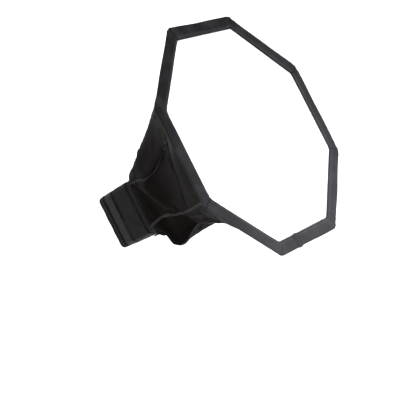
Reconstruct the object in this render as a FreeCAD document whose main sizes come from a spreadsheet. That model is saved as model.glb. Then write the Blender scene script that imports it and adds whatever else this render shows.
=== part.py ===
import FreeCAD, Part
import Sketcher

import math
import os

# Foldable octabox for a hand flash. The origin is the centre of the collar's rear mouth.
# +Z runs along the flash head to the diffuser, X is the collar's wide side, Y its narrow side.
# The rim hangs a little to +Y of the collar, as the slack cone lets it.

doc = FreeCAD.newDocument("Octabox")
sheet = doc.addObject("Spreadsheet::Sheet", "Dim")

dimensions = {
    "rimFlats": 101.5,  # half the octagon's width, flat to flat
    "rimWidth": 11.5,  # the sleeved strip, in the plane of the diffuser
    "rimThick": 2.0,
    "rimRear": 155.0,  # height of the rim's rear face above the collar's mouth
    "rimShift": 10.0,  # the rim's centre stands this far to +Y of the collar's axis
    "endGap": 1.2,  # each sleeve stops this far short of its corner, where the fabric folds
    "stripWidth": 9.0,
    "stripThick": 0.8,
    "stripPlay": 0.1,  # room around the strip in its pocket, on each side
    "stripShort": 2.0,  # the strip stops this far inside each end of its sleeve
    "tapeWidth": 2.0,
    "foldTapeWidth": 1.4,
    "diffuserThick": 0.3,
    "foldGap": 0.3,  # from the fold line to each half of the diffuser
    "collarX": 39.0,  # half the collar's outer width
    "collarY": 24.0,
    "collarRound": 4.0,
    "collarThick": 1.2,
    "collarLength": 45.0,
    "hemLength": 6.0,
    "hemThick": 0.8,
    "coneRear": 45.3,
    "coneFront": 154.6,
    "coneFlats": 98.5,
    "waistHeight": 84.0,  # where the slack cloth is still narrow, between the collar and the rim
    "waistX": 44.0,
    "waistY": 34.0,
    "waistDiagonal": 46.0,
    "waistShift": 6.0,
    "panelThick": 0.8,
    "liningGap": 1.0,  # from the panel's outer face to the lining's
    "liningThick": 0.4,
    "elasticRear": 8.0,
    "elasticLength": 8.0,
    "elasticThick": 1.0,
    "bandRear": 20.0,
    "bandLength": 16.0,
    "bandThick": 1.0,
    "loopLength": 30.0,
    "loopThick": 0.6,
    "closedGap": 0.3,  # between the two faces of the hook and loop when closed
    "hookLength": 24.0,
    "hookThick": 0.5,
    "tongueLength": 34.0,
    "tongueThick": 1.2,
    "peelX": 12.0,  # the line the tongue peels about
    "anchorLength": 8.0,
    "anchorGap": 0.25,
    "padLength": 44.0,
    "padWidth": 16.0,
    "padThick": 0.6,
    "padRear": 14.0,
    "overlapLength": 11.0,
    "overlapThick": 0.7,
    "overlapPlace": 15.0,  # from the middle of its sleeve
}
for row, (alias, size) in enumerate(dimensions.items(), start=1):
    sheet.set(f"A{row}", alias)
    sheet.set(f"B{row}", str(size))
    sheet.setAlias(f"B{row}", alias)
doc.recompute()

sides = 8
turn = 360 / sides
halfTurn = "22.5 deg"
rootTwo = math.sqrt(2)
foldAngle = 67.5  # direction, from +X, square to the fold line
nodes = []


def sized(expression):
    """The value of an expression over the sheet, as a plain number."""
    value = sheet.evalExpression(expression)
    return float(getattr(value, "Value", value))


def planeOf(body, role):
    """One of the body's own origin planes."""
    return next(p for p in body.Origin.OriginFeatures if p.Role == role)


def rimPlace(angle):
    """The rim's own frame, turned about the rim's axis."""
    return FreeCAD.Placement(
        FreeCAD.Vector(0, sized("Dim.rimShift"), 0),
        FreeCAD.Rotation(FreeCAD.Vector(0, 0, 1), angle),
    )


def newBody(name, place=None):
    """A body with its label, in the rim's frame where place gives it."""
    body = doc.addObject("PartDesign::Body", name)
    body.Label = name
    body.Placement = place or FreeCAD.Placement()
    nodes.append(body)
    return body


def outline(body, name, corners, height="0", role="XY_Plane"):
    """A closed sketch through corners, each a pair of expressions, raised along the plane's normal."""
    sketch = body.newObject("Sketcher::SketchObject", name)
    sketch.AttachmentSupport = [(planeOf(body, role), "")]
    sketch.MapMode = "FlatFace"
    sketch.setExpression("AttachmentOffset.Base.z", height)
    points = [FreeCAD.Vector(sized(x), sized(y), 0) for x, y in corners]
    for start, end in zip(points, points[1:] + points[:1]):
        sketch.addGeometry(Part.LineSegment(start, end), False)
    for i in range(len(points)):
        before = (i - 1) % len(points)
        sketch.addConstraint(Sketcher.Constraint("Coincident", before, 2, i, 1))
        for kind, expression, value in (
            ("DistanceX", corners[i][0], points[i].x),
            ("DistanceY", corners[i][1], points[i].y),
        ):
            index = sketch.addConstraint(Sketcher.Constraint(kind, -1, 1, i, 1, value))
            sketch.setExpression(f"Constraints[{index}]", expression)
    return sketch


def padded(body, sketch, length):
    """A pad along the sketch's normal."""
    pad = body.newObject("PartDesign::Pad", sketch.Name + "Pad")
    pad.Profile = sketch
    pad.setExpression("Length", length)
    return pad


def box(name, size, corner, place=None):
    """A Part box: three size expressions and its low corner, in the rim's frame where place gives it."""
    made = doc.addObject("Part::Box", name)
    made.Label = name
    for side, expression in zip(("Length", "Width", "Height"), size):
        made.setExpression(side, expression)
    low = FreeCAD.Vector(*[sized(expression) for expression in corner])
    made.Placement = (place or FreeCAD.Placement()) * FreeCAD.Placement(low, FreeCAD.Rotation())
    nodes.append(made)
    return made





# Rim: eight flat strips, each in a sleeve of folded fabric, mitred at the corners.
def rimSleeve(number):
    body = newBody(f"rim_sleeve_{number}", rimPlace(turn * (number - 1)))
    outer = "Dim.rimFlats"
    inner = "(Dim.rimFlats - Dim.rimWidth)"
    outerEnd = f"({outer} * tan({halfTurn}) - Dim.endGap)"
    innerEnd = f"({inner} * tan({halfTurn}) - Dim.endGap)"
    corners = [
        (outer, f"-{outerEnd}"),
        (outer, outerEnd),
        (inner, innerEnd),
        (inner, f"-{innerEnd}"),
    ]
    plan = outline(body, f"SleevePlan{number}", corners, "Dim.rimRear")
    padded(body, plan, "Dim.rimThick")
    doc.recompute()
    solid = body.Shape.Volume
    centre = "(Dim.rimFlats - Dim.rimWidth / 2)"
    middle = "(Dim.rimRear + Dim.rimThick / 2)"
    wide = "(Dim.stripWidth / 2 + Dim.stripPlay)"
    high = "(Dim.stripThick / 2 + Dim.stripPlay)"
    pocketCorners = [
        (f"{centre} + {wide}", f"{middle} + {high}"),
        (f"{centre} - {wide}", f"{middle} + {high}"),
        (f"{centre} - {wide}", f"{middle} - {high}"),
        (f"{centre} + {wide}", f"{middle} - {high}"),
    ]
    section = outline(body, f"SleeveSlot{number}", pocketCorners, role="XZ_Plane")
    pocket = body.newObject("PartDesign::Pocket", f"SleevePocket{number}")
    pocket.Profile = section
    pocket.Type = "ThroughAll"
    pocket.Midplane = True
    doc.recompute()
    if body.Shape.Volume > 0.8 * solid:
        raise RuntimeError(f"{body.Label}: the strip's pocket cut too little")


def rimStrip(number):
    length = f"(2 * ((Dim.rimFlats - Dim.rimWidth) * tan({halfTurn}) - Dim.endGap - Dim.stripShort))"
    box(
        f"rim_strip_{number}",
        ("Dim.stripWidth", length, "Dim.stripThick"),
        (
            "Dim.rimFlats - (Dim.rimWidth + Dim.stripWidth) / 2",
            f"-{length} / 2",
            "Dim.rimRear + (Dim.rimThick - Dim.stripThick) / 2",
        ),
        rimPlace(turn * (number - 1)),
    )


def cornerTape(name, width, angle):
    """The pinch of folded fabric between two mitred sleeves."""
    length = f"(Dim.rimWidth / cos({halfTurn}))"
    box(
        name,
        (length, width, "Dim.rimThick"),
        (
            f"(Dim.rimFlats - Dim.rimWidth) / cos({halfTurn})",
            f"-{width} / 2",
            "Dim.rimRear",
        ),
        rimPlace(angle),
    )


foldCorners = (4, 8)
for side in range(1, sides + 1):
    rimSleeve(side)
    rimStrip(side)
for corner in range(1, sides + 1):
    cornerAngle = turn * (corner - 0.5)
    if corner in foldCorners:
        cornerTape(f"fold_tape_{1 + foldCorners.index(corner)}", "Dim.foldTapeWidth", cornerAngle)
    else:
        cornerTape(f"corner_tape_{corner}", "Dim.tapeWidth", cornerAngle)

# Where the binding's two ends lap over each other on the lower edge.
box(
    "binding_overlap",
    ("Dim.rimWidth", "Dim.overlapLength", "Dim.overlapThick"),
    (
        "Dim.rimFlats - Dim.rimWidth",
        "-Dim.overlapPlace - Dim.overlapLength / 2",
        "Dim.rimRear + Dim.rimThick",
    ),
    rimPlace(turn * 6),
)


# Diffuser: two half octagons that meet at the fold line.
def diffuserHalf(name, angle):
    body = newBody(name, rimPlace(angle))
    radius = f"((Dim.rimFlats - Dim.rimWidth - 0.05) / cos({halfTurn}))"
    slant = f"({radius} * sin(45 deg))"
    end = f"({radius} - Dim.foldGap * tan({halfTurn}))"
    corners = [
        ("Dim.foldGap", f"-{end}"),
        (slant, f"-{slant}"),
        (radius, "0"),
        (slant, slant),
        ("Dim.foldGap", end),
    ]
    plan = outline(body, name + "_plan", corners, "Dim.rimRear")
    padded(body, plan, "Dim.diffuserThick")


diffuserHalf("diffuser_upper", foldAngle)
diffuserHalf("diffuser_lower", foldAngle + 180)


# Cone: eight panels and their lining, from the collar's chamfered oblong to the octagon.
def loopCorner(number, halfX, halfY, diagonal):
    """Corner 1 is just above +X and the count runs anticlockwise; diagonal is the slanted sides' distance."""
    alongY = f"({rootTwo} * {diagonal} - {halfX})"
    alongX = f"({rootTwo} * {diagonal} - {halfY})"
    nearX = (f"{halfX}", alongY)
    nearY = (alongX, f"{halfY}")
    quarter, second = divmod((number - 1) % sides, 2)
    x, y = (nearX, nearY)[second] if quarter % 2 == 0 else (nearY, nearX)[second]
    signX = "-" if quarter in (1, 2) else ""
    signY = "-" if quarter in (2, 3) else ""
    return f"{signX}{x}", f"{signY}{y}"


def collarLoop(number, inset):
    diagonal = f"((Dim.collarX + Dim.collarY - Dim.collarRound) / {rootTwo} - {inset})"
    return loopCorner(number, f"(Dim.collarX - {inset})", f"(Dim.collarY - {inset})", diagonal)


def rimLoop(number, inset):
    flats = f"(Dim.coneFlats - {inset})"
    x, y = loopCorner(number, flats, flats, flats)
    return x, f"{y} + Dim.rimShift"


def waistLoop(number, inset):
    sizes = [f"(Dim.{name} - {inset})" for name in ("waistX", "waistY", "waistDiagonal")]
    x, y = loopCorner(number, *sizes)
    return x, f"{y} + Dim.waistShift"


def conePanel(name, number, inset, thick):
    """A panel lofted through three thin quadrilaterals, at the collar, the waist and the rim."""
    body = newBody(name)
    sections = []
    for end, loop, height in (
        ("Rear", collarLoop, "Dim.coneRear"),
        ("Waist", waistLoop, "Dim.waistHeight"),
        ("Front", rimLoop, "Dim.coneFront"),
    ):
        within = f"({inset} + {thick})"
        corners = [
            loop(number - 1, inset),
            loop(number, inset),
            loop(number, within),
            loop(number - 1, within),
        ]
        sections.append(outline(body, name + end, corners, height))
    loft = body.newObject("PartDesign::AdditiveLoft", name + "Loft")
    loft.Profile = sections[0]
    loft.Sections = sections[1:]
    loft.Ruled = True


for side in range(1, sides + 1):
    conePanel(f"cone_panel_{side}", side, "0", "Dim.panelThick")
    conePanel(f"lining_{side}", side, "Dim.liningGap", "Dim.liningThick")


# Collar: a sleeve with rounded corners, its hems, an elastic, a closing band and inside grips.
def roundedBlock(name, grow, rear, length):
    """A block grow larger than the collar's outer face all round, with its four upright edges rounded."""
    block = doc.addObject("Part::Box", name + "_block")
    block.setExpression("Length", f"2 * (Dim.collarX + {grow})")
    block.setExpression("Width", f"2 * (Dim.collarY + {grow})")
    block.setExpression("Height", length)
    low = FreeCAD.Vector(-sized(f"Dim.collarX + {grow}"), -sized(f"Dim.collarY + {grow}"), sized(rear))
    block.Placement = FreeCAD.Placement(low, FreeCAD.Rotation())
    doc.recompute()
    radius = sized(f"Dim.collarRound + {grow}")
    upright = [
        i
        for i, edge in enumerate(block.Shape.Edges, start=1)
        if abs(edge.tangentAt(edge.FirstParameter).z) > 0.9
    ]
    rounded = doc.addObject("Part::Fillet", name + "_rounded")
    rounded.Base = block
    rounded.Edges = [(i, radius, radius) for i in upright]
    return rounded


def ring(name, grow, thick, rear, length):
    """A closed band whose inner face stands grow outside the collar's outer face."""
    outer = roundedBlock(name + "_outside", f"({grow} + {thick})", rear, length)
    inner = roundedBlock(name + "_inside", grow, rear, length)
    band = doc.addObject("Part::Cut", name)
    band.Label = name
    band.Base = outer
    band.Tool = inner
    doc.recompute()
    if not 0 < band.Shape.Volume < 0.5 * outer.Shape.Volume:
        raise RuntimeError(f"{name}: the hollow wasn't cut")
    nodes.append(band)


ring("collar_sleeve", "(0 - Dim.collarThick)", "Dim.collarThick", "0", "Dim.collarLength")
ring("collar_hem_rear", "0", "Dim.hemThick", "0", "Dim.hemLength")
ring(
    "collar_hem_front",
    "0",
    "Dim.hemThick",
    "Dim.collarLength - Dim.hemLength",
    "Dim.hemLength",
)
ring("elastic_band", "0", "Dim.elasticThick", "Dim.elasticRear", "Dim.elasticLength")
ring("closing_band", "0", "Dim.bandThick", "Dim.bandRear", "Dim.bandLength")

bandFace = "(Dim.collarY + Dim.bandThick)"
hookFace = f"({bandFace} + Dim.loopThick + Dim.closedGap)"
tongueFace = f"({hookFace} + Dim.hookThick)"
tongueTop = f"({tongueFace} + Dim.tongueThick)"
box(
    "loop_patch",
    ("Dim.loopLength", "Dim.loopThick", "Dim.bandLength - 2"),
    (
        "Dim.peelX - 3 - Dim.loopLength",
        f"-{bandFace} - Dim.loopThick",
        "Dim.bandRear + 1",
    ),
)
box(
    "hook_patch",
    ("Dim.hookLength", "Dim.hookThick", "Dim.bandLength - 2"),
    (
        "Dim.peelX - 5 - Dim.hookLength",
        f"-{tongueFace}",
        "Dim.bandRear + 1",
    ),
)
box(
    "strap_tongue",
    ("Dim.tongueLength", "Dim.tongueThick", "Dim.bandLength"),
    (
        "Dim.peelX - Dim.anchorGap - Dim.tongueLength",
        f"-{tongueTop}",
        "Dim.bandRear",
    ),
)
box(
    "strap_anchor",
    (
        "Dim.anchorLength",
        f"{tongueTop} - {bandFace}",
        "Dim.bandLength",
    ),
    (
        "Dim.peelX + Dim.anchorGap",
        f"-{tongueTop}",
        "Dim.bandRear",
    ),
)
for number, sign in ((1, 1), (2, -1)):
    innerFace = "(Dim.collarY - Dim.collarThick)"
    low = f"{innerFace} - Dim.padThick" if sign > 0 else f"-{innerFace}"
    box(
        f"grip_pad_{number}",
        ("Dim.padLength", "Dim.padThick", "Dim.padWidth"),
        ("-Dim.padLength / 2", low, "Dim.padRear"),
    )

doc.recompute()
for item in doc.Objects:
    if "Invalid" in item.State or "Error" in item.State:
        raise RuntimeError(f"{item.Label} failed: {item.State}")
os.makedirs("parts", exist_ok=True)
for node in nodes:
    shape = node.Shape
    if shape.isNull() or not shape.isValid() or shape.Volume <= 0:
        raise RuntimeError(f"{node.Label} has no valid shape")
    shape.exportStep(f"parts/{node.Label}.step")
print(len(nodes), "nodes; box", doc.getObject("rim_sleeve_1").Shape.BoundBox)
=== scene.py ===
import math

import bmesh
import bpy
import numpy as np
from mathutils import Matrix, Vector


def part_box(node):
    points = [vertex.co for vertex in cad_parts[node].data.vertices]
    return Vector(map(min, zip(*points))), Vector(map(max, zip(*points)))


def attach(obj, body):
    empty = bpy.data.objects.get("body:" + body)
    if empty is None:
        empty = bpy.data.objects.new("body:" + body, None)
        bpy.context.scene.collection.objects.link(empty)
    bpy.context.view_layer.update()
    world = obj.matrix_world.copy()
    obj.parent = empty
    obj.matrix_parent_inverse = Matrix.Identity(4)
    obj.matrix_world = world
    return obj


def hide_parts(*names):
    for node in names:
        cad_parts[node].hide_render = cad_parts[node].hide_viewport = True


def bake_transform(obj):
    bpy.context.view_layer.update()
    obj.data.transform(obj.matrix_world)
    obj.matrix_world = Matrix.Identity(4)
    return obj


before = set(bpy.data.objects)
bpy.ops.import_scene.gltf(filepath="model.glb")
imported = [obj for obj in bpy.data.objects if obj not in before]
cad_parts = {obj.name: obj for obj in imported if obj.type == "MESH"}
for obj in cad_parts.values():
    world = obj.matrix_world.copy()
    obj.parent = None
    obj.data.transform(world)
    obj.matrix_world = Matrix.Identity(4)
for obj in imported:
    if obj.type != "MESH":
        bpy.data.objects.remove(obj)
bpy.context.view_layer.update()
print("frame loaded")

# Sizes, nearly all read from the frame.
mm = 0.001
rimLow, rimHigh = (np.array(c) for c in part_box("rim_sleeve_1"))
collarLow, collarHigh = (np.array(c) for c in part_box("collar_sleeve"))
rimFlats, rimRear, rimFront = rimHigh[0], rimLow[2], rimHigh[2]
rimWidth = rimHigh[0] - rimLow[0]
collarX, collarY, collarTop = collarHigh
collarCut = 4 * mm  # its corners' chamfer
eighth = math.radians(45)
cosHalf, tanHalf = math.cos(eighth / 2), math.tan(eighth / 2)
rimRadius = rimFlats / cosHalf
rimCentre = np.array([0, (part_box("rim_sleeve_3")[1][1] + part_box("rim_sleeve_7")[0][1]) / 2, 0])
foldCorners = {4: "fold_tape_1", 8: "fold_tape_2"}
halves = {"upper": 0, "lower": 4}  # each half's first panel, counted from zero
halfOf = lambda side: "upper" if side <= 4 else "lower"
sideHalf = lambda side: f"frame_{halfOf(side)}"
rng = np.random.default_rng(7)


# Mesh helpers.
def smooth(t):  # 3t^2 - 2t^3 between 0 and 1
    t = np.clip(t, 0, 1)
    return t * t * (3 - 2 * t)


def turned(points, angle):  # turned about the light's axis
    c, s = math.cos(angle), math.sin(angle)
    return points @ np.array([[c, s, 0], [-s, c, 0], [0, 0, 1]])


def onRim(points, angle):  # turned about the rim's own centre
    return turned(points, angle) + rimCentre


def gridMesh(name, points, loopU=False, loopV=False, uv=None, extra=None, recalc=True):
    # points is (nu, nv, 3); uv and extra are (faces u, faces v, 4, 2), one value for each face corner
    nu, nv = points.shape[:2]
    iu = np.arange(nu if loopU else nu - 1)[:, None]
    iv = np.arange(nv if loopV else nv - 1)[None, :]
    ju, jv = (iu + 1) % nu, (iv + 1) % nv
    corners = [iu * nv + iv, ju * nv + iv, ju * nv + jv, iu * nv + jv]
    faces = np.stack(np.broadcast_arrays(*corners), axis=-1).reshape(-1, 4)
    mesh = bpy.data.meshes.new(name)
    mesh.from_pydata(points.reshape(-1, 3).tolist(), [], faces.tolist())
    for layer, values in (("uv", uv), ("seam", extra)):
        if values is not None:
            mesh.uv_layers.new(name=layer).data.foreach_set("uv", values.astype(np.float32).ravel())
    mesh.polygons.foreach_set("use_smooth", np.ones(len(faces), bool))
    piece = bpy.data.objects.new(name, mesh)
    bpy.context.scene.collection.objects.link(piece)
    if recalc:
        tidyMesh(piece)
    return piece


def tidyMesh(piece):  # merges doubled points, then turns the faces outwards
    work = bmesh.new()
    work.from_mesh(piece.data)
    bmesh.ops.remove_doubles(work, verts=work.verts, dist=1e-7)
    bmesh.ops.dissolve_degenerate(work, edges=work.edges, dist=1e-8)
    bmesh.ops.recalc_face_normals(work, faces=work.faces)
    work.to_mesh(piece.data)
    work.free()


def cornerUv(start, end, along, widths=None):
    # start and end are a face's two values across, along is each row's length, widths scales each row
    widths = np.ones(len(along)) if widths is None else widths
    low, high = slice(None, -1), slice(1, None)
    uvs = np.empty((len(start), len(along) - 1, 4, 2))
    for corner, (side, row) in enumerate(((start, low), (end, low), (end, high), (start, high))):
        uvs[:, :, corner, 0] = side[:, None] * widths[None, row]
        uvs[:, :, corner, 1] = along[None, row]
    return uvs


def evenUv(nu, nv, width, length):
    steps = np.arange(nu) / nu
    return cornerUv(steps * width, (steps + 1 / nu) * width, np.linspace(0, length, nv + 1))


def finished(piece, material, stands=(), body=None):
    piece.data.materials.append(material)
    if stands:
        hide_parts(*stands)
    if body:
        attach(piece, body)
    return piece


# Shader helpers.
class Wire:
    # a socket that takes part in sums: each operator adds its Math node
    def __init__(self, maker, socket):
        self.maker, self.socket = maker, socket

    def math(self, operation, *others):
        return self.maker.node("ShaderNodeMath", {"operation": operation}, [self, *others])

    def __add__(self, other):
        return self.math("ADD", other)

    def __sub__(self, other):
        return self.math("SUBTRACT", other)

    def __rsub__(self, other):
        return self.maker.node("ShaderNodeMath", {"operation": "SUBTRACT"}, [other, self])

    def __mul__(self, other):
        return self.math("MULTIPLY", other)

    __radd__, __rmul__ = __add__, __mul__

    def sine(self, pitch):  # a wave from 0 to 1, one to each pitch
        wave = self.maker.node("ShaderNodeMath", {"operation": "SINE"}, [self * (math.tau / pitch)])
        return wave * 0.5 + 0.5

    def between(self, low, high, first=0.0, last=1.0):
        settings = {"interpolation_type": "SMOOTHSTEP"}
        return self.maker.node("ShaderNodeMapRange", settings, [self, low, high, first, last])


class Finish:
    def __init__(self, name, constants):
        self.material = bpy.data.materials.new(name)
        self.material.use_nodes = True
        self.tree = self.material.node_tree
        self.shader = self.tree.nodes["Principled BSDF"]
        for socket, value in constants.items():
            self.shader.inputs[socket].default_value = value

    def node(self, kind, settings=None, inputs=(), output=0):
        made = self.tree.nodes.new(kind)
        for key, value in (settings or {}).items():
            setattr(made, key, value)
        pairs = inputs.items() if isinstance(inputs, dict) else enumerate(inputs)
        for key, value in pairs:
            if isinstance(value, Wire):
                self.tree.links.new(value.socket, made.inputs[key])
            else:
                made.inputs[key].default_value = value
        return Wire(self, made.outputs[output])

    def place(self):  # the object's own coordinates
        return self.node("ShaderNodeTexCoord", output="Object")

    def split(self, source):  # the first two coordinates of a vector
        return [self.node("ShaderNodeSeparateXYZ", None, [source], k) for k in range(2)]

    def axes(self, layer):
        return self.split(self.node("ShaderNodeUVMap", {"uv_map": layer}))

    def noise(self, source, scale, detail=3.0, roughness=0.5):
        inputs = {"Vector": source, "Scale": scale, "Detail": detail, "Roughness": roughness}
        return self.node("ShaderNodeTexNoise", None, inputs)

    def mix(self, share, first, second):
        return self.node("ShaderNodeMix", {"data_type": "RGBA"}, {0: share, 6: first, 7: second}, 2)

    def bump(self, height, distance, strength=1.0):
        inputs = {"Height": height, "Distance": distance, "Strength": strength}
        return self.node("ShaderNodeBump", None, inputs)

    def set(self, **wires):
        for socket, wire in wires.items():
            self.tree.links.new(wire.socket, self.shader.inputs[socket.replace("_", " ")])
        return self.material


def grey(level, tint=(1, 1, 1)):
    return tuple(level * t for t in tint) + (1,)


clothLooks = {
    "nylon": dict(
        dark=0.002, light=0.0065, tint=(1.3, 0.97, 0.88), pitch=0.55, rough=(0.55, 0.75), crinkle=0.00035
    ),
    # the same nylon, drawn paler on the collar: painted light that lifts the shade in the slots between its
    # bands
    "collarNylon": dict(
        dark=0.008, light=0.02, tint=(1.08, 0.99, 0.96), pitch=0.55, rough=(0.5, 0.7), crinkle=0.0003
    ),
}


def nylonCloth(name, dark, light, tint, pitch, rough, crinkle):
    # plain weave: two crossed waves of thread, with slow colour drift, rubbed high spots and fine crinkles
    finish = Finish(name, {"Sheen Weight": 0.01, "Sheen Roughness": 0.4, "Specular IOR Level": 0.03})
    u, v = finish.axes("uv")
    place = finish.place()
    weave = u.sine(pitch * mm) * v.sine(pitch * mm)
    drift = finish.noise(place, 22.0, 4.0)
    crease = finish.noise(place, 95.0, 5.0, 0.62)
    rubbed = crease.between(0.56, 0.72) * 0.5 + drift.between(0.4, 0.7) * 0.35 + weave * 0.15
    paleShare = rubbed * (1 - v.between(0.08, 0.11))  # v is the distance from the collar: painted shade makes the cloth darker by the rim, under the rim's sleeves
    colour = finish.mix(paleShare, grey(dark, tint), grey(light, tint))
    height = weave * 0.00004 + crease * crinkle
    return finish.set(
        Base_Color=colour, Roughness=drift.between(0.3, 0.7, *rough), Normal=finish.bump(height, 1.0, 0.85)
    )


def bindingCloth(name="bindingCloth", dark=0.003, light=0.05, tint=(1.0, 0.97, 1.1), paintedLightShare=0.55):
    # ribbed tape: ribs across its width, threads along it, paler on rubbed edges, and painted light making it
    # paler towards its lower side
    finish = Finish(name, {"Sheen Weight": 0.01, "Sheen Roughness": 0.45, "Specular IOR Level": 0.04})
    u, v = finish.axes("uv")
    place = finish.place()
    px, py = finish.split(place)
    # painted light: the tape is drawn paler towards its lower, right side, as if that side caught more light
    paintedLitSide = (px * 0.3 - py + 0.11).between(0.0, 0.24) * paintedLightShare
    rib = v.sine(0.9 * mm)
    thread = u.sine(0.45 * mm)
    drift = finish.noise(place, 45.0, 4.0)
    fuzz = finish.noise(place, 700.0, 2.0)
    across = finish.axes("seam")[0]
    edge = across.sine(1.0).between(0.86, 0.99)
    paleShare = drift.between(0.42, 0.68) * 0.2 + rib * 0.1 + edge * fuzz * 0.4 + paintedLitSide
    colour = finish.mix(paleShare, grey(dark, tint), grey(light, tint))
    height = rib * 0.00006 + thread * 0.00002 + fuzz * 0.00004 + drift * 0.0004
    return finish.set(
        Base_Color=colour, Roughness=drift.between(0.3, 0.7, 0.62, 0.8), Normal=finish.bump(height, 1.0, 0.8)
    )


def diffuserCloth():
    # white woven cloth, a little thicker in places, faintly dusty towards its edge
    constants = {
        "Sheen Weight": 0.1,
        "Specular IOR Level": 0.2,
        "Subsurface Weight": 0.15,
        "Subsurface Radius": (2 * mm, 2 * mm, 2 * mm),
        "Subsurface Scale": 1.0,
    }
    finish = Finish("diffuserCloth", constants)
    u, v = finish.axes("uv")
    place = finish.place()
    weave = u.sine(0.5 * mm) * v.sine(0.5 * mm)
    cloud = finish.noise(place, 30.0, 5.0)
    colour = finish.mix(weave * 0.25 + cloud.between(0.45, 0.75) * 0.5, grey(0.95), grey(0.88, (1, 1, 0.99)))
    height = weave * 0.00003 + cloud * 0.0004
    return finish.set(
        Base_Color=colour, Roughness=cloud.between(0.3, 0.7, 0.7, 0.85), Normal=finish.bump(height, 1.0, 0.6)
    )


def silverLining():
    # coated cloth: crinkled metal film over a fine weave, duller where it is creased
    finish = Finish("silverLining", {"Specular IOR Level": 0.5})
    u, v = finish.axes("uv")
    place = finish.place()
    weave = u.sine(0.6 * mm) * v.sine(0.6 * mm)
    crinkle = finish.noise(place, 160.0, 6.0, 0.7)
    dull = crinkle.between(0.5, 0.68)
    colour = finish.mix(dull, grey(0.74, (0.98, 0.99, 1.0)), grey(0.5, (1.0, 0.99, 0.97)))
    height = weave * 0.00003 + crinkle * 0.0007
    return finish.set(
        Base_Color=colour,
        Metallic=dull.between(0, 1, 0.85, 0.6),
        Roughness=dull.between(0, 1, 0.32, 0.55),
        Normal=finish.bump(height, 1.0, 0.9),
    )


def webbingCloth(name, chevron, dark=0.004, light=0.012):
    # woven band: a herringbone whose slant turns round at every chevron's width
    finish = Finish(name, {"Sheen Weight": 0.02, "Specular IOR Level": 0.07})
    u, v = finish.axes("uv")
    place = finish.place()
    slant = finish.node("ShaderNodeMath", {"operation": "PINGPONG"}, [u, chevron * mm])
    twill = (v + slant).sine(1.1 * mm)
    rows = u.sine(0.7 * mm)
    drift = finish.noise(place, 60.0, 4.0)
    fuzz = finish.noise(place, 900.0, 2.0)
    paleShare = twill * 0.4 + drift.between(0.45, 0.7) * 0.35 + fuzz.between(0.55, 0.75) * 0.25
    colour = finish.mix(paleShare, grey(dark), grey(light, (1, 1, 1.03)))
    height = twill * 0.00012 + rows * 0.00003 + fuzz * 0.00005
    return finish.set(
        Base_Color=colour, Roughness=drift.between(0.3, 0.7, 0.6, 0.82), Normal=finish.bump(height, 1.0, 0.9)
    )


def elasticCloth():
    # covered elastic: rubber cords run round it as even ribs, gathered by a fine cross ripple
    finish = Finish("elasticCloth", {"Sheen Weight": 0.03, "Specular IOR Level": 0.14})
    u, v = finish.axes("uv")
    place = finish.place()
    cords = v.sine(1.3 * mm)
    ripple = u.sine(0.8 * mm)
    drift = finish.noise(place, 80.0, 4.0)
    colour = finish.mix(cords * 0.5 + drift.between(0.4, 0.7) * 0.5, grey(0.006), grey(0.014))
    height = cords * 0.00018 + ripple * 0.00007
    return finish.set(
        Base_Color=colour, Roughness=drift.between(0.3, 0.7, 0.6, 0.78), Normal=finish.bump(height, 1.0, 0.9)
    )


def napCloth(name, scale, depth, dark, light, rough):
    # hook tape or loop tape: a dense field of cells, soft for the loops and sharp for the hooks
    finish = Finish(name, {"Sheen Weight": 0.1 if depth > 0.0003 else 0.0, "Specular IOR Level": 0.2})
    place = finish.place()
    settings = {"feature": "F1"}
    cells = finish.node("ShaderNodeTexVoronoi", settings, {"Vector": place, "Scale": scale})
    fuzz = finish.noise(place, scale * 0.6, 4.0)
    share = cells.between(0.0, 0.6) * 0.6 + fuzz * 0.4
    return finish.set(
        Base_Color=finish.mix(share, grey(light), grey(dark)),
        Roughness=fuzz.between(0.3, 0.7, *rough),
        Normal=finish.bump((1 - cells) * depth, 1.0, 0.9),
    )


def gripRubber():
    # moulded rubber: fine pebble, a bloom of dust in the low spots
    finish = Finish("gripRubber", {"Specular IOR Level": 0.45})
    place = finish.place()
    pebble = finish.noise(place, 1500.0, 2.0)
    dust = finish.noise(place, 90.0, 5.0)
    colour = finish.mix(dust.between(0.5, 0.75), grey(0.028), grey(0.06))
    return finish.set(
        Base_Color=colour,
        Roughness=dust.between(0.35, 0.7, 0.55, 0.75),
        Normal=finish.bump(pebble * 0.00008, 1.0, 0.7),
    )


def stripPlastic():
    # rolled plastic strip: faint lengthwise drag marks and handling scuffs
    finish = Finish("stripPlastic", {"Specular IOR Level": 0.45})
    place = finish.place()
    scuff = finish.noise(place, 130.0, 6.0, 0.65)
    fine = finish.noise(place, 1200.0, 2.0)
    colour = finish.mix(scuff.between(0.5, 0.7), grey(0.05), grey(0.11))
    return finish.set(
        Base_Color=colour,
        Roughness=scuff.between(0.35, 0.7, 0.42, 0.62),
        Normal=finish.bump(fine * 0.00003, 1.0, 0.6),
    )


def threadCotton(name="thread", level=0.02):
    # sewing thread: two plies twisted round each other, a little fluff
    finish = Finish(name, {"Sheen Weight": 0.05, "Specular IOR Level": 0.2})
    u, v = finish.axes("uv")
    place = finish.place()
    ply = (v + u).sine(0.5)
    fluff = finish.noise(place, 2500.0, 2.0)
    colour = finish.mix(ply * 0.6 + fluff * 0.4, grey(level * 0.6), grey(level * 1.3))
    return finish.set(
        Base_Color=colour,
        Roughness=fluff.between(0.2, 0.8, 0.55, 0.8),
        Normal=finish.bump(ply * 0.00006, 1.0, 0.8),
    )


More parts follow.
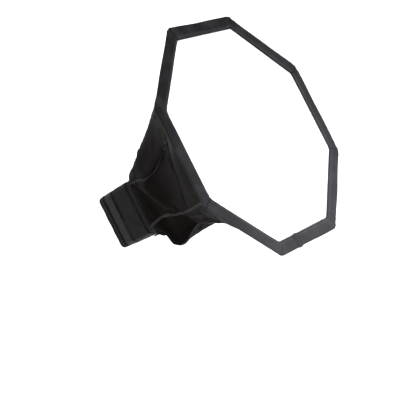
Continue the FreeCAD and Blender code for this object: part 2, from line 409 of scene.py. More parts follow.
nylon = nylonCloth("nylonCloth", **clothLooks["nylon"])
collarNylon = nylonCloth("collarNylon", **clothLooks["collarNylon"])
binding = bindingCloth()
seamTape = bindingCloth("seamTape", 0.010, 0.050, (1.06, 0.98, 0.95), 0.15)
diffuserWhite = diffuserCloth()
silver = silverLining()
webbing = webbingCloth("webbing", 3.0)
hemTape = webbingCloth("hemTape", 1.5, 0.0035, 0.011)
elastic = elasticCloth()
loopNap = napCloth("loopNap", 1500.0, 0.0005, 0.008, 0.035, (0.85, 0.95))
hookNap = napCloth("hookNap", 1100.0, 0.0002, 0.006, 0.04, (0.4, 0.55))
rubber = gripRubber()
plastic = stripPlastic()
thread = threadCotton()
print("finishes made")


# Camera, light and floor.
viewSet = dict(
    azimuth=274.24, elevation=39.5, roll=-60.65, distance=8.377, right=0.4145, up=0.5245, lens=99.5
)


def makeCamera(azimuth, elevation, roll, distance, right, up, lens):
    # distance, right and up, in radii of a 200 mm octagon, say how far the rim's centre lies from the camera
    # and from the view's axis
    a, e, r = (math.radians(x) for x in (azimuth, elevation, roll))
    back = Vector((math.sin(a) * math.cos(e), -math.cos(a) * math.cos(e), math.sin(e)))
    level = Vector((math.cos(a), math.sin(a), 0))
    upright = back.cross(level)
    above = upright * math.cos(r) + level * math.sin(r)
    beside = above.cross(back)
    centre = Vector(rimCentre) + Vector((0, 0, rimFront))
    unit = 100 * mm / cosHalf
    place = centre + (back * distance - beside * right - above * up) * unit
    camera = bpy.data.objects.new("camera", bpy.data.cameras.new("camera"))
    camera.matrix_world = Matrix.Translation(place) @ Matrix((beside, above, back)).transposed().to_4x4()
    camera.data.lens, camera.data.sensor_width = lens, 36
    camera.data.clip_start = 0.01
    bpy.context.scene.collection.objects.link(camera)
    bpy.context.scene.camera = camera


makeCamera(**viewSet)
skyward = np.array([0.04, 0.85, 0.53])  # which way is up when the head is tilted on its flash
lights = {  # the way to each light, its distance and size in metres, its power in watts
    "key": (skyward, 1.4, 1.2, 20),
    "front": ((-0.35, 0.15, 0.92), 1.6, 1.4, 8),
    "side": ((-0.95, -0.25, 0.1), 1.5, 1.0, 3),
    "under": ((0.1, -0.8, 0.75), 0.6, 0.4, 3.2),
}
stageSet = dict(drop=0.16, reach=12.0, sky=0.95, paper=0.93)


def areaLight(name, direction, distance, size, watts):
    light = bpy.data.objects.new(name, bpy.data.lights.new(name, "AREA"))
    light.data.shape, light.data.size, light.data.energy = "DISK", size, watts
    aim = Vector(direction).normalized()
    light.location = Vector((0, 0, 0.1)) + aim * distance
    light.rotation_euler = aim.to_track_quat("Z", "Y").to_euler()
    bpy.context.scene.collection.objects.link(light)


def makeStage(drop, reach, sky, paper):
    for name, values in lights.items():
        areaLight(name, *values)
    bpy.context.scene.view_settings.view_transform = "Standard"
    world = bpy.data.worlds.new("world")
    world.use_nodes = True
    background = world.node_tree.nodes["Background"]
    background.inputs["Color"].default_value = (1, 1, 1, 1)
    background.inputs["Strength"].default_value = sky
    bpy.context.scene.world = world
    square = np.array([[[-1, -1, 0], [-1, 1, 0]], [[1, -1, 0], [1, 1, 0]]], float) * reach
    square[..., 2] = collarLow[2] - drop
    floor = gridMesh("floor", square, recalc=False)
    constants = {"Base Color": grey(paper), "Roughness": 0.9, "Specular IOR Level": 0.1}
    floor.data.materials.append(Finish("paper", constants).material)


makeStage(**stageSet)


# Rim.
sleeveShape = dict(
    across=28,
    along=110,
    inset=0.25 * mm,
    rounded=1.6 * mm,
    half=1.25 * mm,  # half its thickness
    pinch=0.45,
    pinchPlace=0.7 * mm,
    pinchWidth=0.35 * mm,
    sway=0.22 * mm,  # slow waves along the sleeve
    ripple=0.12 * mm,  # quicker ones
    bunch=0.28 * mm,  # gathers near both ends
    puff=0.16,  # uneven filling of its outer part
)
rimTilt = {5: 2.5, 4: 1, 6: 1.5, 1: 1}  # degrees each sleeve's outer edge is turned forward in its middle


def tiltLift(side, radius, s):
    # s runs from -1 to 1 along the sleeve
    tilt = math.sin(math.radians(rimTilt.get(side, 0)))
    return (radius - rimFlats + rimWidth / 2) * tilt * smooth((1 - np.abs(s)) * 4)


def sleeveProfile(across, half, pinch, pinchPlace, pinchWidth):
    # a closed flat outline: its thickness falls away near both edges and dips at the stitched line
    turn = np.linspace(0, 2 * math.pi, 2 * across, endpoint=False)
    x = rimWidth / 2 * (1 - np.cos(turn))
    flat = (1 - np.abs(np.cos(turn)) ** 8) ** 0.5
    dip = 1 - pinch * np.exp(-(((x - pinchPlace) / pinchWidth) ** 2))
    rise = half * flat * dip
    return x, np.where(np.sin(turn) >= 0, rise, -rise)


def rimSleeve(side, values):
    across, along = values["across"], values["along"]
    x, z = sleeveProfile(across, *(values[key] for key in ("half", "pinch", "pinchPlace", "pinchWidth")))
    s = np.linspace(-1, 1, along)[None, :]
    radius = rimFlats - rimWidth + x[:, None]
    reach = radius * tanHalf - values["inset"] - values["rounded"] * (x[:, None] / rimWidth) ** 8
    phase = side * 1.7
    y = s * reach
    nearEnd = np.exp(-(1 - np.abs(s)) * 6.0)
    sway = values["sway"] * np.sin(y / (19 * mm) + phase) + values["ripple"] * np.sin(y / (7 * mm) + 2 * phase)
    bunch = nearEnd * values["bunch"] * np.sin(y / (1.1 * mm) + x[:, None] / (2.2 * mm) + phase)
    puff = 1 + values["puff"] * np.sin(y / (11 * mm) + 3 * phase) * (x[:, None] > 3 * mm)
    lift = (rimRear + rimFront) / 2 + z[:, None] * puff + bunch * np.sign(z[:, None]) + sway * 0.6
    lift = lift + tiltLift(side, radius, s)
    points = np.stack([radius + sway * smooth(x[:, None] / rimWidth), y, lift], axis=-1)
    centre = points.mean(axis=0, keepdims=True)
    start = centre[:, :1] + (points[:, :1] - centre[:, :1]) * np.array([0.0, 0.55]).reshape(1, 2, 1)
    end = centre[:, -1:] + (points[:, -1:] - centre[:, -1:]) * np.array([0.55, 0.0]).reshape(1, 2, 1)
    points = onRim(np.concatenate([start, points, end], axis=1), (side - 1) * eighth)
    length = 2 * rimFlats * tanHalf
    uv = evenUv(2 * across, along + 3, 2.2 * rimWidth, length)
    seam = evenUv(2 * across, along + 3, 2.0, length)
    piece = gridMesh(f"binding_{side}", points, loopU=True, uv=uv, extra=seam)
    return finished(piece, binding, [f"rim_sleeve_{side}"], sideHalf(side))


earShape = dict(
    around=28,
    along=26,
    width=2.0 * mm,
    thick=1.3 * mm,
    short=0.9 * mm,  # how far it stops short of the rim's outer corner
    past=0.3 * mm,  # how far it reaches past the inner one
    crease=0.65,
    lean=0.7 * mm,
)


def cornerEar(corner, values):
    # a flattened bead, wider at its outer end, creased along its middle where the binding is folded over
    around, along = values["around"], values["along"]
    a = np.linspace(0, 2 * math.pi, around, endpoint=False)[:, None]
    t = np.linspace(0, 1, along)[None, :]
    inner, outer = rimRadius - rimWidth / cosHalf - values["past"], rimRadius - values["short"]
    swell = np.sin(math.pi * t) ** 0.35
    width = values["width"] * (0.55 + 0.75 * t) * swell
    lean = values["lean"] * math.sin(corner * 2.1) * t
    across = width * np.sign(np.cos(a)) * np.abs(np.cos(a)) ** 0.8
    crease = 1 - values["crease"] * np.exp(-((across / (0.5 * mm)) ** 2)) * np.sin(math.pi * t)
    up = values["thick"] * swell ** 0.6 * np.sign(np.sin(a)) * np.abs(np.sin(a)) ** 0.6 * crease
    radius = inner + (outer - inner) * (0.5 - 0.5 * np.cos(math.pi * t))
    points = np.stack(
        [np.broadcast_to(radius, across.shape), across + lean, (rimRear + rimFront) / 2 + up], axis=-1
    )
    points = onRim(points, (corner - 0.5) * eighth)
    uv = evenUv(around, along - 1, 8 * mm, 12 * mm)
    node = foldCorners.get(corner, f"corner_tape_{corner}")
    piece = gridMesh(f"corner_fold_{corner}", points, loopU=True, uv=uv, extra=uv)
    body = "collar" if corner in foldCorners else sideHalf(corner)
    return finished(piece, binding, [node], body)


overlapShape = dict(across=36, along=26, wider=0.5 * mm, deeper=0.35 * mm, knot=1.1 * mm)


def bindingOverlap(values):
    # the binding's loose end: a thin pillow over the sleeve, its far edge turned under and lifted a little
    low, high = (np.array(c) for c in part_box("binding_overlap"))
    across, along = values["across"], values["along"]
    a = np.linspace(0, 2 * math.pi, across, endpoint=False)[:, None]
    t = np.linspace(0, 1, along)[None, :]
    centre, half = (low + high) / 2, (high - low) / 2
    fold = np.sin(math.pi * t) ** 0.25
    y = centre[1] + (half[1] + values["wider"]) * np.sign(np.cos(a)) * np.abs(np.cos(a)) ** 0.5 * fold
    rise = (half[2] + values["deeper"]) * np.sign(np.sin(a)) * np.abs(np.sin(a)) ** 0.4 * fold
    z = centre[2] - values["deeper"] + rise
    ridge = np.exp(-(((t - 0.3) / 0.1) ** 2)) + 0.8 * np.exp(-(((t - 0.75) / 0.08) ** 2))
    knot = values["knot"] * ridge * np.exp(-(((np.cos(a) + 0.3) / 0.6) ** 2)) * (np.sin(a) > 0)
    x = low[0] + (high[0] - low[0]) * t + 0.4 * mm * np.cos(a)
    points = np.stack([x, y, z + knot], axis=-1)
    uv = evenUv(across, along - 1, 20 * mm, 11 * mm)
    piece = gridMesh("binding_end", points, loopU=True, uv=uv, extra=uv)
    return finished(piece, binding, ["binding_overlap"], "frame_lower")


def stitchRow(name, starts, ends, lift, body, thick=0.22 * mm):
    # each stitch is a short tube that dips into the cloth at both ends; all in one mesh
    around, along = 6, 7
    a = np.linspace(0, 2 * math.pi, around, endpoint=False)[None, :, None, None]
    t = np.linspace(0, 1, along)[None, None, :, None]
    way = (ends - starts)[:, None, None, :]
    tangent = way / np.linalg.norm(way, axis=-1, keepdims=True)
    rise = np.broadcast_to(lift, starts.shape)[:, None, None, :]
    side = np.cross(tangent, rise)
    arch = np.sin(math.pi * t) ** 0.5
    radius = thick * np.sin(math.pi * (0.04 + 0.92 * t)) ** 0.4
    centre = starts[:, None, None, :] + way * t + rise * (arch * 1.1 * thick - 0.3 * thick)
    points = centre + radius * (np.cos(a) * side + np.sin(a) * rise)
    count = len(starts)
    offset = (np.arange(count) * around * along)[:, None, None]
    i, j = np.arange(around)[:, None], np.arange(along - 1)[None, :]
    k = (i + 1) % around
    near, far = i * along + j, k * along + j
    quad = np.stack([near, far, far + 1, near + 1], axis=-1).reshape(1, -1, 4)
    faces = (quad + offset).reshape(-1, 4).tolist()
    rings = np.arange(around) * along
    caps = np.stack([rings, rings[::-1] + along - 1])[None] + offset
    faces += caps.reshape(-1, around).tolist()
    mesh = bpy.data.meshes.new(name)
    mesh.from_pydata(points.reshape(-1, 3).tolist(), [], faces)
    layer = mesh.uv_layers.new(name="uv")
    vertex = np.empty(len(mesh.loops), int)
    mesh.loops.foreach_get("vertex_index", vertex)
    uv = np.stack([vertex // along % around / around, vertex % along / along * 2], axis=-1)
    layer.data.foreach_set("uv", uv.astype(np.float32).ravel())
    mesh.polygons.foreach_set("use_smooth", np.ones(len(mesh.polygons), bool))
    piece = bpy.data.objects.new(name, mesh)
    bpy.context.scene.collection.objects.link(piece)
    tidyMesh(piece)
    return finished(piece, thread, (), body)


def rimStitches(half, pitch=3.2 * mm, length=2.2 * mm):
    # one row each side of the rim's four sleeves, along the pinched line
    starts, ends, lifts = [], [], []
    radius = rimFlats - rimWidth + sleeveShape["pinchPlace"]
    reach = radius * tanHalf - 3 * mm
    y = np.arange(-reach, reach - length, pitch)
    for side in range(halves[half] + 1, halves[half] + 5):
        for up in (1, -1):
            z = (rimRear + rimFront) / 2 + up * 0.55 * mm + tiltLift(side, radius, y / (radius * tanHalf))
            lean = 0.12 * mm * np.sin(y * 900 + side)
            row = np.stack([radius + lean, y, z], axis=-1)
            nextRow = np.stack([radius - lean, y + length, z], axis=-1)
            starts.append(onRim(row, (side - 1) * eighth))
            ends.append(onRim(nextRow, (side - 1) * eighth))
            lifts.append(np.tile([0.0, 0.0, float(up)], (len(y), 1)))
    rows = (np.concatenate(part) for part in (starts, ends, lifts))
    return stitchRow(f"rim_stitches_{half}", *rows, f"frame_{half}")


for side in range(1, 9):
    rimSleeve(side, sleeveShape)
    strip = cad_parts[f"rim_strip_{side}"]
    strip.data.materials.clear()
    strip.data.materials.append(plastic)
for corner in range(1, 9):
    cornerEar(corner, earShape)
bindingOverlap(overlapShape)
for half in halves:
    rimStitches(half)
print("rim made")


# Diffuser.
diffuserShape = dict(
    around=96,
    rings=46,
    tuck=0.6 * mm,
    height=0.5 * mm,
    pull=0.5 * mm,
    crown=1.0 * mm,
    crease=0.12 * mm,
    waves=0.35 * mm,
    thick=0.22 * mm,
)


def diffuserHalf(half, values):
    # a fan from the centre: the radius at each bearing is the octagon's, the surface a shallow crown
    # with faint pulls towards the corners and a soft crease along the fold line
    middle = (1.5 if half == "upper" else 5.5) * eighth
    a = middle + np.linspace(-math.pi / 2, math.pi / 2, values["around"])[:, None]
    flats = rimFlats - rimWidth + values["tuck"]
    edge = flats / np.cos((a + eighth / 2) % eighth - eighth / 2)
    t = np.linspace(0, 1, values["rings"])[None, :] ** 0.8
    r = edge * t
    corner = np.cos(8 * (a - eighth / 2)) * 0.5 + 0.5
    pull = values["pull"] * corner * t**3 * np.sin(math.pi * t) * np.sin(5 * math.pi * t)
    crease = values["crease"] * np.exp(-(((r * np.cos(a - middle)) / (4 * mm)) ** 2)) * (1 - t**6)
    waves = values["waves"] * np.sin(r * 55 * np.cos(a) + 1) * np.sin(r * 48 * np.sin(a)) * (1 - t**4)
    z = rimRear + values["height"] + values["crown"] * (1 - t**2) + pull + waves - crease
    past = 0.1 * mm * np.array([math.cos(middle), math.sin(middle), 0])
    points = np.stack([r * np.cos(a), r * np.sin(a), z], axis=-1) + rimCentre - past
    flat = points[..., :2]
    uv = np.stack([flat[:-1, :-1], flat[1:, :-1], flat[1:, 1:], flat[:-1, 1:]], axis=2)
    piece = gridMesh(f"diffuser_cloth_{half}", points, uv=uv)
    wall = piece.modifiers.new("wall", "SOLIDIFY")
    wall.thickness, wall.offset, wall.use_rim = values["thick"], 0, True
    finished(piece, diffuserWhite, [f"diffuser_{half}"], f"frame_{half}")
    width, length = 2 * edge.max(), edge.max()
    area = 2 * math.sqrt(2) * edge.max() ** 2 / 2


for half in halves:
    diffuserHalf(half, diffuserShape)
print("diffuser made")


# Cone.
coneShape = dict(
    perPanel=16,
    along=48,
    rear=collarTop - 3.5 * mm,
    front=rimRear - 0.1 * mm,
    flats=rimFlats - 2.4 * mm,
    lift=0.9 * mm,  # the cloth's rear edge laps over the collar by this much
    # two heights where the slack cloth is still narrow, with its eight corners at each, in mm
    heights=(62 * mm, 84 * mm),
    corners=(
        [(43, 20), (33, 32), (-36, 42), (-41, 21), (-42, -16), (-32, -43), (26, -36), (43, -18)],
        [(46, 22), (32, 43), (-38, 50), (-41, 18), (-40, -20), (-24, -33), (24, -33), (46, -18)],
    ),
    opening=0.45,  # how fast it widens at the second height, against a straight line from there to the rim
    flare=[1.7, 1.5, 1.1, 1.6, 1.9, 2.1, 1.8, 1.8],  # the same at the rim, for each seam
    panelSag=[5, 4, 2, -14, 6, 5, 4, 5],  # how far each panel's middle is drawn in, in mm
    tuck=4 * mm,  # the fifth panel is sewn this much nearer the strip's middle
    slack=0.015,  # how much larger the cloth is cut than its frame
    bumps=0.15 * mm,  # the random start that lets it crease
    furthest=9 * mm,  # the most a point may move as it settles
    frames=26,
    thick=0.5 * mm,
    liningGap=2.2 * mm,
    liningThick=0.3 * mm,
)
clothFeel = dict(
    quality=8,
    mass=0.05,
    tension_stiffness=25,
    compression_stiffness=25,
    shear_stiffness=12,
    bending_stiffness=0.06,
    air_damping=3,
)


def collarCorners(lift):
    # the collar's chamfered oblong, corner 1 just above +X, anticlockwise
    cut = collarCut
    x, y = collarX + lift, collarY + lift
    quarter = np.array([[x, y - cut], [x - cut, y]])
    flip = quarter[::-1]
    return np.concatenate([quarter, flip * [-1, 1], quarter * [-1, -1], flip * [1, -1]])


def coneLoops(values):
    # the eight seams at the collar, at the two narrow heights and at the rim: level, seam, axis
    bearings = (np.arange(8) + 0.5) * eighth
    rim = values["flats"] / cosHalf * np.stack([np.cos(bearings), np.sin(bearings)], axis=-1) + rimCentre[:2]
    narrow = np.array(values["corners"]) * mm
    flat = np.concatenate([collarCorners(values["lift"])[None], narrow, rim[None]])
    heights = np.array([values["rear"], *values["heights"], values["front"]])
    return np.concatenate([flat, np.broadcast_to(heights[:, None, None], (4, 8, 1))], axis=-1)


def spread(perSeam, n):
    # a value for each seam, carried in a straight line across the panels
    f = (np.arange(n) / n).reshape((1, n) + (1,) * (perSeam.ndim - 1))
    between = np.roll(perSeam, 1, axis=0)[:, None] * (1 - f) + perSeam[:, None] * f
    return between.reshape((8 * n,) + perSeam.shape[1:])


def hermite(t, start, end, startWay, endWay):
    return (
        (2 * t**3 - 3 * t**2 + 1) * start
        + (t**3 - 2 * t**2 + t) * startWay
        + (3 * t**2 - 2 * t**3) * end
        + (t**3 - t**2) * endWay
    )


def coneSurface(values):
    # three curves end to end from the collar to the rim, each panel drawn in or let out between its seams
    n, rows = values["perPanel"], values["along"]
    loops = coneLoops(values)
    levels = loops[:, 0, 2]
    gaps = np.diff(levels)
    chords = np.diff(loops[..., :2], axis=0) / gaps[:, None, None]
    flare = np.array(values["flare"], float)[:, None]
    slopes = np.stack(
        [chords[0] * 1.6, (chords[0] + chords[1]) / 2, values["opening"] * chords[2], flare * chords[2]]
    )
    height = np.linspace(values["rear"], values["front"], rows)
    flat = np.empty((8 * n, rows, 2))
    for row, z in enumerate(height):
        k = min(int(np.searchsorted(levels, z, side="right")) - 1, 2)
        way = slopes[k : k + 2] * gaps[k]
        seams = hermite((z - levels[k]) / gaps[k], loops[k, :, :2], loops[k + 1, :, :2], *way)
        flat[:, row] = spread(seams, n)
    share = np.tile(np.arange(n) / n, 8)
    dome = 1 - (2 * share - 1) ** 2
    v = np.linspace(0, 1, rows)
    sag = np.repeat(np.array(values["panelSag"], float), n) * mm
    inward = (sag * dome)[:, None] * (np.sin(math.pi * v**0.9) ** 1.1)[None, :]
    radial = flat - rimCentre[:2] * smooth(v)[None, :, None]
    radial = radial / np.linalg.norm(radial, axis=-1, keepdims=True)
    flat = flat - radial * inward[..., None]
    tucked = values["tuck"] * dome * (np.arange(8 * n) // n == 4)
    flat = flat - radial * (tucked[:, None] * smooth(v * 6 - 5)[None, :])[..., None]
    sewn = [tiltLift(k // n + 1, values["flats"], 2 * share[k] - 1) for k in range(8 * n)]
    rise = height[None, :] + np.array(sewn)[:, None] * smooth(v * 4 - 3)[None, :]
    return np.concatenate([flat, rise[..., None]], axis=-1)


def patternArea(values):
    # the eight flat panels, each cut as two four-sided pieces
    loops = coneLoops(values)
    near, far = loops[:-1], loops[1:]
    across = np.cross(np.roll(far, 1, axis=1) - near, far - np.roll(near, 1, axis=1))
    return np.linalg.norm(across, axis=-1).sum() / 2


def draped(points, values):
    # cloth a little larger than its frame settles under gravity, held along the collar and the rim
    n, rows = points.shape[:2]
    bumps = rng.normal(0, values["bumps"], (n, rows, 3))
    bumps[:, [0, -1]] = 0
    piece = gridMesh("cone_drape", points + bumps, loopU=True, recalc=False)
    held = piece.vertex_groups.new(name="held")
    index = np.arange(n * rows).reshape(n, rows)
    held.add(index[:, [0, 1, -1]].ravel().tolist(), 1.0, "REPLACE")
    cloth = piece.modifiers.new("cloth", "CLOTH")
    for key, value in clothFeel.items():
        setattr(cloth.settings, key, value)
    cloth.settings.shrink_min = -values["slack"]
    cloth.settings.vertex_group_mass = "held"
    cloth.collision_settings.use_collision = False
    cloth.point_cache.frame_start, cloth.point_cache.frame_end = 1, values["frames"]
    scene = bpy.context.scene
    scene.gravity = (-skyward * 9.81).tolist()
    for number in range(1, values["frames"] + 1):
        scene.frame_set(number)
    shaped = piece.evaluated_get(bpy.context.evaluated_depsgraph_get())
    settled = np.empty(n * rows * 3, np.float32)
    shaped.to_mesh().vertices.foreach_get("co", settled)
    bpy.data.objects.remove(piece)
    scene.frame_set(1)
    settled = settled.reshape(n, rows, 3).astype(float)
    moved = settled - points
    far = np.linalg.norm(moved, axis=-1, keepdims=True)
    return points + moved * np.minimum(1, values["furthest"] / np.maximum(far, 1e-9))


foldBearing = 1.5 * eighth  # the direction straight away from the fold line, in the upper half
awayFromFold = np.array([math.cos(foldBearing), math.sin(foldBearing), 0])


def heldOnFold(points, perPanel, slope=0.14, reach=3):
    # the two fold seams keep within a narrow wedge under the fold line, so both halves can close on them
    column = np.arange(len(points)) % (4 * perPanel)
    near = np.minimum(column, 4 * perPanel - column)
    weight = np.clip(1 - near / reach, 0, 1)[:, None]
    away = (points - rimCentre) @ awayFromFold
    limit = slope * (rimRear - points[..., 2])
    moved = (np.clip(away, -limit, limit) - away) * weight
    return points + moved[..., None] * awayFromFold


def coneShares(half, points, fade=0.12):
    # the share of its half's turn each point takes: from all of it in the rim's plane to none a quarter
    # turn away under the fold line, fading out at the collar
    rows = points.shape[1]
    away = (points - rimCentre) @ awayFromFold * (1 if half == "upper" else -1)
    angle = np.arctan2(rimRear - points[..., 2], away)
    leaves = smooth(np.linspace(0, 1, rows) / fade)[None, :]
    return np.clip(1 - angle / (math.pi / 2), 0, 1) * leaves


def sharedBend(piece, body):
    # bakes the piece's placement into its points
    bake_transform(piece)


def normalsOf(points):
    # cross product of the grid's two directions, wrapped round the loop
    across = np.roll(points, -1, axis=0) - np.roll(points, 1, axis=0)
    along = np.gradient(points, axis=1)
    normal = np.cross(across, along)
    return normal / np.linalg.norm(normal, axis=-1, keepdims=True)


narrowZ, narrowFlats = coneShape["heights"][1], 40 * mm
coneSlant = narrowZ - collarTop + math.hypot(rimRear - narrowZ, rimFlats - narrowFlats)


def coneCloth(name, half, points, values, material, stands, thick):
    n, rows = values["perPanel"], values["along"]
    first = halves[half] * n
    picked = np.arange(first, first + 4 * n + 1) % len(points)
    part = points[picked]
    steps = np.tile(np.arange(n) / n, 4) - 0.5
    slant = np.linspace(0, coneSlant, rows)
    collarSide, rimSide = 0.045, 2 * rimFlats * tanHalf
    widths = np.linspace(collarSide, rimSide, rows)
    uv = cornerUv(steps, steps + 1 / n, slant, widths)
    seam = cornerUv(steps + 0.5, steps + 0.5 + 1 / n, slant)
    piece = gridMesh(name, part, uv=uv, extra=seam, recalc=False)
    wall = piece.modifiers.new("wall", "SOLIDIFY")
    wall.thickness, wall.offset = thick, 0
    finished(piece, material, stands)
    shares = coneShares(half, part)
    shares[[0, -1]] = 0
    sharedBend(piece, f"frame_{half}")
    rimLength = 4 * 2 * values["flats"] * tanHalf
    area = patternArea(values) / 2


seamShape = dict(around=16, half=1.35 * mm, tall=0.55 * mm)


def seamRib(corner, points, outward, values):
    # a flat felled seam: a low rounded strip carried along the seam, a little uneven in width and height
    at = (corner * coneShape["perPanel"]) % len(points)
    rows = len(points[0]) - (3 if corner in foldCorners else 0)
    line, lift = points[at, :rows], outward[at, :rows]
    way = np.gradient(line, axis=0)
    way /= np.linalg.norm(way, axis=-1, keepdims=True)
    side = np.cross(lift, way)
    around = values["around"]
    a = np.linspace(0, 2 * math.pi, around, endpoint=False)[:, None, None]
    flat = np.sign(np.cos(a)) * np.abs(np.cos(a)) ** 0.7
    high = np.sign(np.sin(a)) * np.abs(np.sin(a)) ** 0.9
    v = np.linspace(0, 1, rows)[None, :, None]
    width = values["half"] * (0.9 + 0.15 * np.sin(v * 40 + corner))
    tall = values["tall"] * (1 + 0.25 * np.sin(v * 27 + 2 * corner))
    close = np.minimum(1, np.minimum(v, 1 - v) * 40)
    tube = line[None] + close * (width * flat * side[None] + tall * (high + 0.35) * lift[None])
    uv = evenUv(around, rows - 1, 5 * mm, 125 * mm)
    piece = gridMesh(f"seam_{corner}", tube, loopU=True, uv=uv, extra=uv, recalc=False)
    finished(piece, seamTape)
    if corner in foldCorners:
        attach(piece, "collar")
        tidyMesh(piece)
    else:
        shares = coneShares(halfOf(corner), line[None])
        sharedBend(piece, sideHalf(corner))


def softened(points, times):
    # each point moves towards its neighbours round the loop and along it; the two ends stay put
    for _ in range(times):
        beside = np.roll(points, 1, axis=0) + np.roll(points, -1, axis=0)
        near = (beside[:, 1:-1] + points[:, :-2] + points[:, 2:]) / 4
        points = np.concatenate([points[:, :1], (points[:, 1:-1] + near) / 2, points[:, -1:]], axis=1)
    return points


settled = heldOnFold(draped(coneSurface(coneShape), coneShape), coneShape["perPanel"])
outward = normalsOf(settled)
soft = softened(settled, 12)
toAxis = (soft - rimCentre) * [1, 1, 0]
# the lining lies straight in from the cloth, and towards the axis by the rim
atRim = smooth((np.linspace(0, 1, coneShape["along"]) - 0.8) / 0.15)[None, :, None]
offset = normalsOf(soft) * (1 - atRim) + toAxis / np.linalg.norm(toAxis, axis=-1, keepdims=True) * atRim
inner = softened(settled, 3) - offset * coneShape["liningGap"]
inner[..., 2] = np.minimum(inner[..., 2], rimRear - 0.2 * mm)
for half, first in halves.items():
    for name, points, material, slot, node, thick in (
        ("cone_cloth", settled, nylon, "nylon", "cone_panel", coneShape["thick"]),
        ("lining_cloth", inner, silver, "lining", "lining", coneShape["liningThick"]),
    ):
        panels = [f"{node}_{k}" for k in range(first + 1, first + 5)]
        coneCloth(f"{name}_{half}", half, points, coneShape, material, panels, thick)
for corner in range(1, 9):
    seamRib(corner, settled, outward, seamShape)
print("cone made")


# Collar.
def oblong(grow, count):
    # points and outward normals round the collar at an even spacing, its corners as arcs
    radius = collarCut + grow
    x, y = collarX + grow - radius, collarY + grow - radius
    arc = math.pi / 2 * radius
    lengths = np.array([2 * y, arc, 2 * x, arc] * 2)
    ends = np.cumsum(lengths)
    total = ends[-1]
    s = np.linspace(0, total, count, endpoint=False)
    piece = np.searchsorted(ends, s, side="right")
    t = (s - (ends - lengths)[piece]) / lengths[piece]
    quarter = piece // 2
    bearing = quarter * math.pi / 2 + np.where(piece % 2 == 1, t * math.pi / 2, 0)
    normal = np.stack([np.cos(bearing), np.sin(bearing)], axis=-1)
    start = np.array([[x, -y], [x, y], [-x, y], [-x, -y]])
    end = np.roll(start, -1, axis=0)
    straight = start[quarter] + (end - start)[quarter] * t[:, None]
    centre = np.where(piece[:, None] % 2 == 1, end[quarter], straight)
    return centre + normal * radius, normal, total


def loopBand(name, grow, thick, low, high, ripple, material, slot, node, around=300, section=36, edge=0.5):
    # a thin closed section carried round the collar; ripple moves it in or out
    line, normal, total = oblong(grow, around)
    a = np.linspace(0, 2 * math.pi, section, endpoint=False)[None, :]
    middle, half = (low + high) / 2, (high - low) / 2
    z = middle + half * np.sign(np.cos(a)) * np.abs(np.cos(a)) ** edge
    depth = thick / 2 * (1 + np.sign(np.sin(a)) * np.abs(np.sin(a)) ** 0.4)
    s = np.linspace(0, total, around, endpoint=False)[:, None]
    out = depth + ripple(s, z)
    flat = line[:, None] + normal[:, None] * out[..., None]
    points = np.concatenate([flat, np.broadcast_to(z, out.shape)[..., None]], axis=-1)
    steps = np.arange(around) / around * total
    sweep = np.concatenate([half * 2 * np.abs((a[0] / math.pi) - 1), [half * 2]])
    uv = cornerUv(steps, steps + total / around, sweep)
    piece = gridMesh(name, points, loopU=True, loopV=True, uv=uv, extra=uv)
    return finished(piece, material, [node], "collar")


def nodeZ(node):
    low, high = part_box(node)
    return low[2], high[2]


puckers = lambda s, z: (
    0.18 * mm * np.sin(s / (2.3 * mm)) * np.cos(z / (3 * mm)) + 0.1 * mm * np.sin(s / (9 * mm))
)
drawn = lambda s, z: 0.22 * mm * np.sin(s / (1.6 * mm))
slackFolds = lambda s, z: (
    0.35 * mm * np.sin(s / (13 * mm) + z / (9 * mm)) * np.sin(np.pi * np.clip(z / collarTop, 0, 1))
    + 0.15 * mm * np.sin(s / (5 * mm) - z / (6 * mm))
)
collarBands = {  # grow and thick in mm, the ripple, the finish, its slot, the node it stands for
    "collar_cloth": (-1.2, 1.2, slackFolds, collarNylon, "nylon", "collar_sleeve"),
    "hem_rear": (-1.5, 2.2, puckers, hemTape, "webbing", "collar_hem_rear"),
    "hem_front": (0.1, 0.7, puckers, hemTape, "webbing", "collar_hem_front"),
    "elastic_loop": (0.0, 1.0, drawn, elastic, "elastic", "elastic_band"),
    "closing_loop": (0.0, 1.0, puckers, webbing, "webbing", "closing_band"),
}
finer = {"collar_cloth": dict(section=72, edge=0.9), "elastic_loop": dict(around=420)}
for name, (grow, thick, ripple, finish, slot, node) in collarBands.items():
    loopBand(name, grow * mm, thick * mm, *nodeZ(node), ripple, finish, slot, node, **finer.get(name, {}))


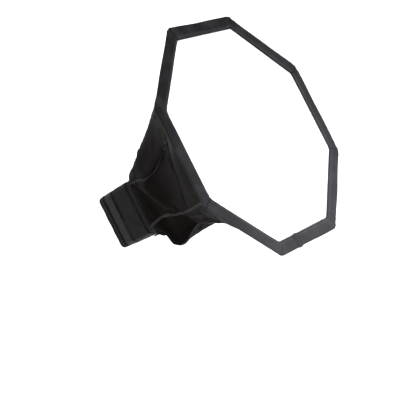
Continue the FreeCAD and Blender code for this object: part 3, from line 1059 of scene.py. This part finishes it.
def plate(name, node, material, body, tip=0.0, ribs=0.0):
    # a flat pillow the size of its node: rounded outline, tip rounds one end, ribs rise across its face
    low, high = (np.array(c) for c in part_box(node))
    centre, half = (low + high) / 2, (high - low) / 2
    a = np.linspace(0, 2 * math.pi, 96, endpoint=False)[:, None]
    t = np.linspace(0, math.pi, 33)[None, :]
    x = np.sign(np.cos(a)) * np.abs(np.cos(a)) ** 0.22
    z = np.sign(np.sin(a)) * np.abs(np.sin(a)) ** 0.22
    swell = np.sin(t) ** 0.25
    if tip:
        z = z * np.where(x < 0, (1 - np.abs(x) ** tip * 0.55), 1)
    px = centre[0] + half[0] * x * swell
    pz = centre[2] + half[2] * z * swell
    face = np.sign(np.cos(t)) * (np.abs(np.cos(t)) > 0.5)
    py = centre[1] + np.cos(t) * half[1] + ribs * np.sin(px / (0.65 * mm)) * swell * face
    points = np.stack(np.broadcast_arrays(px, py, pz), axis=-1)
    flat = np.stack([points[..., 0], points[..., 2]], axis=-1)
    ring = np.concatenate([flat, flat[:1]])
    uv = np.stack([ring[:-1, :-1], ring[1:, :-1], ring[1:, 1:], ring[:-1, 1:]], axis=2)[:, :, :, ::-1]
    piece = gridMesh(name, points, loopU=True, uv=uv, extra=uv)
    return finished(piece, material, [node], body)


plate("loop_tape", "loop_patch", loopNap, "collar")
plate("strap_end", "strap_anchor", webbing, "collar")
plate("hook_tape", "hook_patch", hookNap, "tongue")
plate("tongue_strap", "strap_tongue", webbing, "tongue", tip=6.0)
plate("grip_upper", "grip_pad_1", rubber, "collar", ribs=0.12 * mm)
plate("grip_lower", "grip_pad_2", rubber, "collar", ribs=0.12 * mm)


def loopStitches(name, height, grow=0.75 * mm, pitch=3.0 * mm, length=2.1 * mm, count=4000):
    # a row of stitches round the collar
    line, normal, total = oblong(grow, count)
    arc = np.arange(0, total - length, pitch)
    first = (arc / total * count).astype(int)
    last = ((arc + length) / total * count).astype(int) % count
    starts = np.concatenate([line[first], np.full((len(arc), 1), height)], axis=1)
    ends = np.concatenate([line[last], np.full((len(arc), 1), height)], axis=1)
    lift = np.concatenate([normal[first], np.zeros((len(arc), 1))], axis=1)
    return stitchRow(name, starts, ends, lift, "collar")


fromEdge = 1.3 * mm  # how far in from each hem's inner edge the stitches run
loopStitches("hem_stitches_rear", nodeZ("collar_hem_rear")[1] - fromEdge)
loopStitches("hem_stitches_front", nodeZ("collar_hem_front")[0] + fromEdge)
print("collar made")
